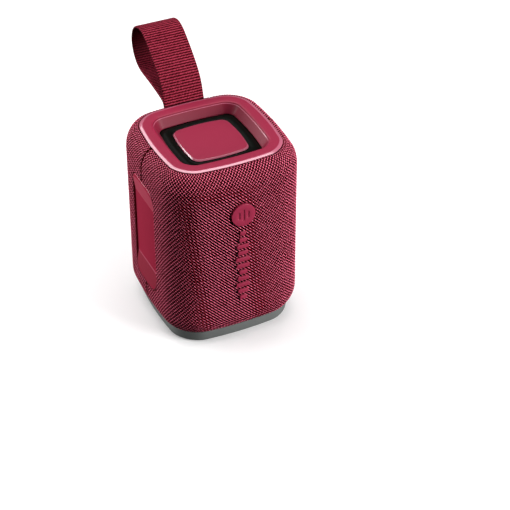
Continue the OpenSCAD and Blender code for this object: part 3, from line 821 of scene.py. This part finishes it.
def build_bezel():
    bezel = loft(
        "bezel_moulding",
        filleted(drops([
            (BEZEL_W - 1.1, 10.0, BULGE, 4.8, 0),
            (BEZEL_W - 1.1, 10.0, BULGE, 0.66, 0.1),
            (BEZEL_W - 0.05, 10.6, BULGE, 0.60, 0.08),
            (BEZEL_W, 10.6, BULGE, 0.46, 0.1),
            (BEZEL_W - 2.4, 9.7, BULGE, 0.0, 0.45),
            (OPENING_W + 1.0, 7.4, 1.4, 0.0, 0.7),
            (OPENING_W - 0.7, 6.8, 1.35, 1.0, 0.6),
            (WELL_W + 0.4, 4.2, 1.35, 5.0, 0.2),
            (WELL_W, 4.0, 1.35, 5.3, 0.1),
            (WELL_W, 4.0, 1.35, 5.8, 0),
            (BEZEL_W - 1.1, 10.0, BULGE, 5.8, 0),
        ])),
        [bezel_plastic, polish_and_painted_highlight, well_painted_shade],
        pick=bezel_material_number,
    )
    stands_for(bezel, "top_bezel")


def build_plate():
    plate = loft(
        "radiator_plate_moulding",
        filleted([
            (0.6, 0.05, 0.02, PLATE_TOP - 1.35, 0),
            (28, 2.6, 1.2, PLATE_TOP - 1.35, 0.1),
            (28, 2.6, 1.2, PLATE_TOP - 0.8, 0),
            (PLATE_W - 0.1, 3.4, 1.4, PLATE_TOP - 0.79, 0.05),
            (PLATE_W, 3.5, 1.4, PLATE_TOP - 0.70, 0.10),
            (PLATE_W - 1.2, 3.1, 1.4, PLATE_TOP, 0.10),
            (PLATE_W - 8, 2.4, 1.1, PLATE_TOP, 0),
            (0.6, 0.05, 0.02, PLATE_TOP, 0),
        ]),
        [bezel_plastic, polish_and_painted_highlight],
        band=False,
        pick=lambda ring: 1 if PLATE_EDGE[0] <= ring < PLATE_EDGE[1] else 0,
    )
    stands_for(plate, "radiator_plate")


def build_roll():
    """The black rubber roll round the plate."""
    roll = loft(
        "radiator_roll",
        filleted(drops([
            (48.4, 5.5, 1.3, 6.0, 0), (44.4, 4.6, 1.3, 6.0, 0.3), (42.2, 4.0, 1.3, 5.35, 0.5),
            (39.9, 3.6, 1.3, 4.95, 0.6), (37.2, 3.2, 1.3, 5.05, 0.6), (35.0, 3.0, 1.3, 5.42, 0.3),
            (28.6, 2.6, 1.3, 5.42, 0), (28.6, 2.6, 1.3, 5.75, 0), (35.2, 3.0, 1.3, 5.75, 0.2),
            (37.2, 3.2, 1.3, 5.45, 0.4), (39.9, 3.6, 1.3, 5.35, 0.4), (41.8, 4.0, 1.3, 5.75, 0.4),
            (44.0, 4.6, 1.3, 6.4, 0.2), (48.4, 5.5, 1.3, 6.4, 0),
        ])),
        [black_rubber],
        sharp_angle=60.0,
    )
    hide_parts("radiator_surround")
    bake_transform(roll)


def build_foot():
    foot = loft(
        "foot_moulding",
        filleted([
            (0.6, 0.05, 0.02, 0.0, 0),
            (69.4, 12.4, BULGE, 0.0, 0.4),
            (71.2, 13.0, BULGE, 0.9, 0.5),
            (71.4, 13.0, BULGE, FOOT_H, 0.1),
            (59, 8.5, 1.4, FOOT_H, 0),
            (59, 8.5, 1.4, 1.0, 0),
            (0.6, 0.05, 0.02, 1.0, 0),
        ]),
        [grey_rubber],
        band=False,
    )
    stands_for(foot, "foot_ring")


# ---- the driver's flexible rings ----


def flexible_ring(node, profile, material):
    """A ring round the driver's axis, in sectors that each stretch from the cabinet to the cone.

    profile holds (radius, y) points of its closed section.
    """
    sectors, steps = 12, 6
    faces = tube_faces(steps + 1, len(profile))
    for k in range(sectors):
        points = []
        for i in range(steps + 1):
            a = 2 * math.pi * (k + i / steps) / sectors
            points += [(r * math.cos(a), y, DRIVER_Z + r * math.sin(a)) for r, y in profile]
        ob = new_object(f"{node}_sector_{k + 1:02d}", points, faces, [material], sharp_angle=50.0)
        face_outward(ob.data)
        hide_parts(node)
        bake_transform(ob)


def half_roll(centre, radius, y_middle, y_flange, count=9):
    """Points of a half roll's arc, from its outer foot to its inner foot."""
    low = math.asin((y_middle - y_flange) / radius)
    turns = [math.pi - low - (math.pi - 2 * low) * i / (count - 1) for i in range(count)]
    return [(centre - radius * math.cos(a), y_middle - radius * math.sin(a)) for a in turns]


def build_driver_rings():
    surround = [(20.4, -32.85), (20.4, -33.15)]
    surround += half_roll(17.6, 1.55, -32.3, -33.15)
    surround += [(15.0, -33.15), (15.0, -32.85)]
    surround += half_roll(17.6, 1.25, -32.3, -32.85)[::-1]
    flexible_ring("driver_surround", surround, black_rubber)
    spider = [(14.8, -21.7), (14.8, -22.0), (7.0, -22.0), (7.0, -21.7)]
    flexible_ring("driver_spider", spider, spider_cloth)


# ---- panels, keys, port, badge ----

# Material numbers of a panel's surfaces: the upper ramp with a painted reflection, the lower ramp
# with painted shade, and rounded edges with a painted highlight
UPPER_RAMP, LOWER_RAMP, ROUNDED_EDGE = 1, 2, 3
RAMP_FROM, RAMP_TO = 20, 32  # how far from the panel's middle its ramps lie, up and down
RAMP_OUT = 37.0              # how far out the ramps lie, at least
EDGE_OUT = 37.5              # and the rounded edges


def creased(mesh, heights):
    """Cuts a narrow chamfer along the level edges at these heights, in millimetres, and gives it
    the rounded edges' material, which carries a painted highlight.
    """
    bm = bmesh.new()
    bm.from_mesh(mesh)
    chosen = []
    for edge in bm.edges:
        a, b = (v.co / MM for v in edge.verts)
        level = abs(a.z - b.z) < 0.02 and abs(a.y - b.y) > 0.5
        near = min(abs(a.z - z) for z in heights) < 0.7
        if level and near and edge.calc_face_angle(0.0) > 0.03:
            chosen.append(edge)
    made = bmesh.ops.bevel(bm, geom=chosen, offset=0.3 * MM, segments=1, affect="EDGES")
    for face in made["faces"]:
        face.material_index = ROUNDED_EDGE
        for edge in face.edges:
            edge.smooth = False
    bm.to_mesh(mesh)
    bm.free()


def finish_panel(ob):
    """Gives the sloping ends of a panel's dip, and its rounded edges, their own colours: a painted
    reflection on the upper ramp, painted shade on the lower ramp and a painted highlight on the
    rounded edges.
    """
    for material in (upper_ramp_painted_reflection, lower_ramp_painted_shade, panel_edge_painted_highlight):
        ob.data.materials.append(material)
    for face in ob.data.polygons:
        middle = face.center / MM
        out = abs(middle.x)
        up = middle.z - PANEL_Z
        facing_out = abs(face.normal.x)
        if face.material_index == ROUNDED_EDGE:
            if up > 0:
                face.material_index = UPPER_RAMP
            continue
        if 0.3 < facing_out < 0.93 and out > EDGE_OUT and abs(up) > RAMP_FROM:
            face.material_index = ROUNDED_EDGE
        sloping = 0.06 < abs(face.normal.z) < 0.35 and facing_out > 0.9
        if sloping and RAMP_FROM < abs(up) < RAMP_TO and out > RAMP_OUT:
            face.material_index = UPPER_RAMP if up > 0 else LOWER_RAMP


def build_panels():
    for panel in ("grip_panel", "control_panel"):
        moulding = softened(panel, panel + "_moulding", 0.35, panel_rubber)
        creased(moulding.data, [PANEL_Z - DIP_HALF_H, PANEL_Z + DIP_HALF_H])
        finish_panel(moulding)
    for key in ("key_power", "key_pair", "key_volume_down", "key_play", "key_volume_up"):
        softened(key, key + "_cap", 0.3, panel_rubber)


def build_port_and_badge():
    softened("port_frame", "port_frame_moulding", 0.25, panel_rubber)
    softened("port_flap", "port_flap_moulding", 0.2, panel_rubber)
    softened("strap_anchor", "strap_anchor_moulding", 0.35, panel_rubber)
    softened("badge_disc", "badge_disc_moulding", 0.3, badge_plastic)
    softened("badge_bars", "badge_bar_mouldings", 0.25, badge_plastic)


# ---- carry loop ----


def smooth_line(points, spacing):
    """A smooth line through points, with even spacing, and its length."""
    p = np.array(points, float)
    for _ in range(5):
        middle = (p[:-1] + p[1:]) / 2
        finer = np.empty((2 * len(p) - 1, 2))
        finer[0::2] = p
        finer[1::2] = middle
        kept = finer.copy()
        kept[1:-1] = 0.25 * finer[:-2] + 0.5 * finer[1:-1] + 0.25 * finer[2:]
        p = kept
    lengths = np.concatenate([[0], np.cumsum(np.hypot(*np.diff(p, axis=0).T))])
    count = int(lengths[-1] / spacing)
    at = np.linspace(0, lengths[-1], count + 1)
    return np.column_stack([np.interp(at, lengths, p[:, k]) for k in (0, 1)]), lengths[-1]


def webbing_line():
    """The webbing's middle as (y, z): up out of the slot, round the head and back into it."""
    head = []
    for i in range(15):
        a = math.radians(HEAD_START - HEAD_TURN * i / 14)
        head.append((LOOP_HEAD[0] + LOOP_R * math.cos(a), LOOP_HEAD[1] + LOOP_R * math.sin(a)))
    out_y = BEND_Y - SLOT_SIDE
    back_y = BEND_Y + SLOT_SIDE
    start = [(out_y, 101.7), (out_y, 105.5), (out_y + 0.02, 108.4)]
    finish = [(back_y + 0.9, 109.4), (back_y, 107.6), (back_y, 105.0), (back_y, 101.7)]
    return smooth_line(start + FRONT_LEG + head + LOWER_LEG + finish, RIB_PITCH / 6)


def webbing_section():
    """The webbing's section as (across, through) points, with soft edges."""
    half_t = WEBBING_T / 2 - SLACK
    across = [0, 2.2, 4.4, 6.6, 8.4, 9.8, 10.6, 11.1, 11.4, WEBBING_W / 2]
    thick = [1, 1, 1, 1, 1, 1, 1.04, 1.0, 0.72, 0.3]
    outer = [(x, t * half_t) for x, t in zip(across, thick)]
    side = outer + [(x, -t) for x, t in outer[::-1]]
    return side + [(-x, t) for x, t in side[::-1][1:-1]]


def build_strap():
    """One length of webbing, ribbed across on both faces."""
    line, length = webbing_line()
    tangent = np.gradient(line, axis=0)
    tangent /= np.linalg.norm(tangent, axis=1, keepdims=True)
    normal = np.column_stack([-tangent[:, 1], tangent[:, 0]])
    section = webbing_section()
    along = np.linspace(0, length, len(line))
    points = []
    uvs = []
    for at, c, m in zip(along, line, normal):
        rib = RIB_HEIGHT * abs(math.cos(2 * math.pi * at / RIB_PITCH))
        for x, t in section:
            thick = t + math.copysign(rib, t) * (1 if abs(x) < FLAT_HALF_W else 0.4)
            points.append((x, c[0] + m[0] * thick, c[1] + m[1] * thick))
            uvs.append((x + (0 if t > 0 else INNER_FACE_U), at))
    faces = tube_faces(len(line), len(section))
    ob = new_object("carry_loop_webbing", points, faces, [webbing], sharp_angle=70.0)
    weave = ob.data.uv_layers.new(name="weave")
    for loop in ob.data.loops:
        weave.data[loop.index].uv = uvs[loop.vertex_index]
    face_outward(ob.data)
    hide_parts("strap_tail", "strap_loop")
    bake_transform(ob)


# ---- CAD nodes that are shown as they are ----


def show_plain_nodes():
    for node, ob in frame["nodes"].items():
        if ob.hide_render:
            continue
        ob.data.materials.clear()
        ob.data.materials.append(SLOT_MATERIAL[NODE_SLOT[node]])
        ob.data.shade_smooth()
        ob.data.set_sharp_from_angle(angle=math.radians(32))


# ---- floor, lights and camera ----

FLOOR_HALF = 30.0          # metres
FLOOR_DIM, FLOOR_BRIGHT = (0.12, 0.12, 0.12), (1.0, 1.0, 1.0)
FLOOR_FADE = (0.35, 1.1)   # metres from the part between which the floor goes bright
CENTRE = (0, 0, 0.06)
CAMERA_AT = (-0.2859, -0.6584, 0.5686)
CAMERA_AIM = (0.0258, 0.0, 0.0201)
CAMERA_LENS, SENSOR_W = 114.4, 36.0


def floor_material():
    material, tree, shader = new_material("pale_floor")
    colour = mixed(tree, noise(tree, 3.0, 2.0), (0.90, 0.90, 0.90), (0.93, 0.93, 0.93))
    tree.links.new(colour, shader.inputs["Base Color"])
    shader.inputs["Roughness"].default_value = 0.8
    shader.inputs["Specular IOR Level"].default_value = 0.05
    # The floor glows faintly round the part and white further off, so that it has no horizon
    place = add(tree, "NewGeometry").outputs["Position"]
    distance = add(tree, "VectorMath", {0: place}, operation="LENGTH").outputs["Value"]
    far = ramp_between(tree, distance, FLOOR_FADE[0], FLOOR_FADE[1])
    glow = mixed(tree, far, FLOOR_DIM, FLOOR_BRIGHT)
    tree.links.new(glow, shader.inputs["Emission Color"])
    shader.inputs["Emission Strength"].default_value = 1.0
    return material


def add_floor():
    s = FLOOR_HALF
    mesh = bpy.data.meshes.new("floor")
    mesh.from_pydata([(-s, -s, 0), (s, -s, 0), (s, s, 0), (-s, s, 0)], [], [(0, 1, 2, 3)])
    mesh.materials.append(floor_material())
    ob = add_to_scene("floor", mesh)
    # The floor throws no light back, so the side away from the lamps stays dark
    ob.visible_diffuse = False
    ob.visible_glossy = False


def add_softbox(name, place, size, power):
    lamp = bpy.data.lights.new(name, "AREA")
    lamp.shape = "RECTANGLE"
    lamp.size, lamp.size_y = size
    lamp.energy = power
    ob = add_to_scene(name, lamp)
    ob.location = place
    direction = Vector(CENTRE) - Vector(place)
    ob.rotation_euler = direction.to_track_quat("-Z", "Y").to_euler()


def add_world(strength):
    world = bpy.data.worlds.new("studio")
    bpy.context.scene.world = world
    world.use_nodes = True
    shade = world.node_tree.nodes["Background"]
    shade.inputs["Color"].default_value = (1, 1, 1, 1)
    shade.inputs["Strength"].default_value = strength


def add_camera():
    camera = bpy.data.cameras.new("camera")
    camera.lens = CAMERA_LENS
    camera.sensor_width = SENSOR_W
    ob = add_to_scene("camera", camera)
    ob.location = CAMERA_AT
    aim = Vector(CAMERA_AIM) - ob.location
    ob.rotation_euler = aim.to_track_quat("-Z", "Y").to_euler()
    bpy.context.scene.camera = ob


build_cover()
build_bezel()
build_plate()
build_roll()
build_foot()
build_driver_rings()
build_panels()
build_port_and_badge()
build_strap()
show_plain_nodes()

add_floor()
add_world(0.07)
add_softbox("top_softbox", (0.05, 0.15, 1.1), (0.95, 0.95), 9.4)
add_softbox("left_softbox", (-1.0, 0.66, 0.34), (1.0, 0.6), 17)
add_softbox("right_softbox", (0.82, -0.86, 0.40), (0.75, 0.6), 22)
add_softbox("back_softbox", (-0.2, 1.0, 0.95), (0.7, 0.5), 3)
add_camera()
bpy.context.scene.view_settings.view_transform = "Standard"
